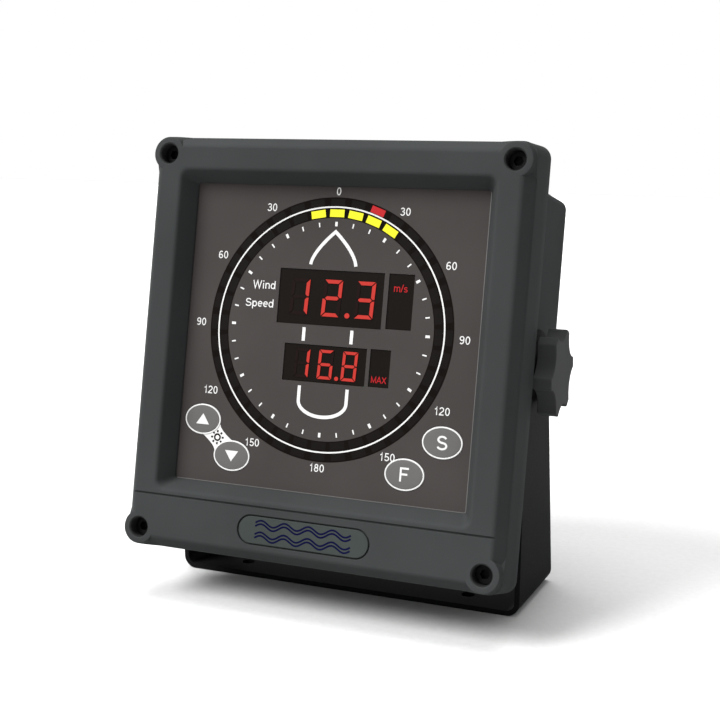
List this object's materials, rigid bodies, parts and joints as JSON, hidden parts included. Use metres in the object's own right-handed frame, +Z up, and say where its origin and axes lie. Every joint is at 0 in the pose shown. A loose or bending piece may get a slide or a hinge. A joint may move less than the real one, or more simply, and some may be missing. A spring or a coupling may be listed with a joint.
{
  "type": "marine wind display",
  "caption": "Square wind speed and direction display in a tilting yoke, with clamp knobs, lamp ring, digits and keys.",
  "frame": {"origin": "centre of the yoke's foot, on its underside", "axes": "+Z up, -Y towards the viewer of the display, +X to the viewer's right"},
  "size_m": [0.2032, 0.1305, 0.2202],
  "materials": {
    "yoke_black": "satin powder coat",
    "case_grey": "fine moulded texture",
    "badge_grey": "satin",
    "rubber_black": "matt",
    "film_grey": "fine velvet",
    "plate_aluminium": "mill",
    "steel": "satin",
    "lamp_yellow": "lit lens",
    "lamp_red": "lit lens",
    "window_dark": "smoked",
    "digit_red": "lit bars",
    "key_grey": "satin",
    "part_black": "matt",
    "board_green": "solder mask",
    "brass": "turned",
    "ribbon_grey": "satin",
    "terminal_green": "satin",
    "screw_black": "black oxide",
    "washer_white": "satin",
    "gland_black": "satin",
    "knob_black": "matt",
    "knob_grey": "satin"
  },
  "bodies": {
    "yoke": {"mounting_yoke": "yoke_black"},
    "head": {"front_bezel": "case_grey", "badge_plate": "badge_grey", "panel_seal": "rubber_black", "overlay_film": "film_grey", "support_plate": "plate_aluminium", "panel_screws": "steel", "inner_lamp_row": "lamp_yellow", "outer_lamp_row": "lamp_red", "speed_display": "window_dark", "speed_digits": "digit_red", "speed_unit_display": "window_dark", "max_display": "window_dark", "max_digits": "digit_red", "max_unit_display": "window_dark", "key_switches": "part_black", "display_board": "board_green", "display_spacers": "brass", "display_board_screws": "steel", "ribbon_sockets": "part_black", "ribbon_cable": "ribbon_grey", "main_board": "board_green", "main_board_screws": "steel", "processor_chips": "part_black", "power_module": "part_black", "terminal_block": "terminal_green", "housing_seal": "rubber_black", "rear_housing": "case_grey", "corner_inserts": "brass", "corner_screws": "screw_black", "right_pivot_insert": "brass", "left_pivot_insert": "brass", "right_friction_washer": "washer_white", "left_friction_washer": "washer_white", "gland_bodies": "gland_black", "gland_locknuts": "gland_black", "gland_seals": "rubber_black", "gland_caps": "gland_black", "earth_stud": "steel", "earth_nuts": "steel"},
    "key_up": {"key_up": "key_grey"},
    "key_down": {"key_down": "key_grey"},
    "key_s": {"key_s": "key_grey"},
    "key_f": {"key_f": "key_grey"},
    "right_disc": {"right_knob_disc": "knob_black"},
    "right_knob": {"right_knob": "knob_grey", "right_knob_stud": "steel"},
    "left_disc": {"left_knob_disc": "knob_black"},
    "left_knob": {"left_knob": "knob_grey", "left_knob_stud": "steel"}
  },
  "joints": [
    {"name": "head_tilt", "type": "hinge", "parent": "yoke", "child": "head", "pos_m": [0, -0.0114, 0.1145], "axis": [-1, 0, 0], "range_deg": [-12, 50]},
    {"name": "key_up_press", "type": "slide", "parent": "head", "child": "key_up", "axis": [0, 0.9848, -0.1736], "range_m": [0, 0.0005], "stiffness_N_per_m": 3000, "springref_m": -0.0004},
    {"name": "key_down_press", "type": "slide", "parent": "head", "child": "key_down", "axis": [0, 0.9848, -0.1736], "range_m": [0, 0.0005], "stiffness_N_per_m": 3000, "springref_m": -0.0004},
    {"name": "key_s_press", "type": "slide", "parent": "head", "child": "key_s", "axis": [0, 0.9848, -0.1736], "range_m": [0, 0.0005], "stiffness_N_per_m": 3000, "springref_m": -0.0004},
    {"name": "key_f_press", "type": "slide", "parent": "head", "child": "key_f", "axis": [0, 0.9848, -0.1736], "range_m": [0, 0.0005], "stiffness_N_per_m": 3000, "springref_m": -0.0004},
    {"name": "right_disc_slide", "type": "slide", "parent": "head", "child": "right_disc", "axis": [1, 0, 0], "range_m": [0, 0.00251]},
    {"name": "right_knob_turn", "type": "hinge", "parent": "right_disc", "child": "right_knob", "pos_m": [0, -0.0114, 0.1145], "axis": [1, 0, 0], "range_deg": [0, 720]},
    {"name": "left_disc_slide", "type": "slide", "parent": "head", "child": "left_disc", "axis": [-1, 0, 0], "range_m": [0, 0.00251]},
    {"name": "left_knob_turn", "type": "hinge", "parent": "left_disc", "child": "left_knob", "pos_m": [0, -0.0114, 0.1145], "axis": [-1, 0, 0], "range_deg": [0, 720]}
  ],
  "couplings": [
    {"joint": "right_disc_slide", "follows": "right_knob_turn", "m_per_rad": 0.00019894},
    {"joint": "left_disc_slide", "follows": "left_knob_turn", "m_per_rad": 0.00019894}
  ]
}
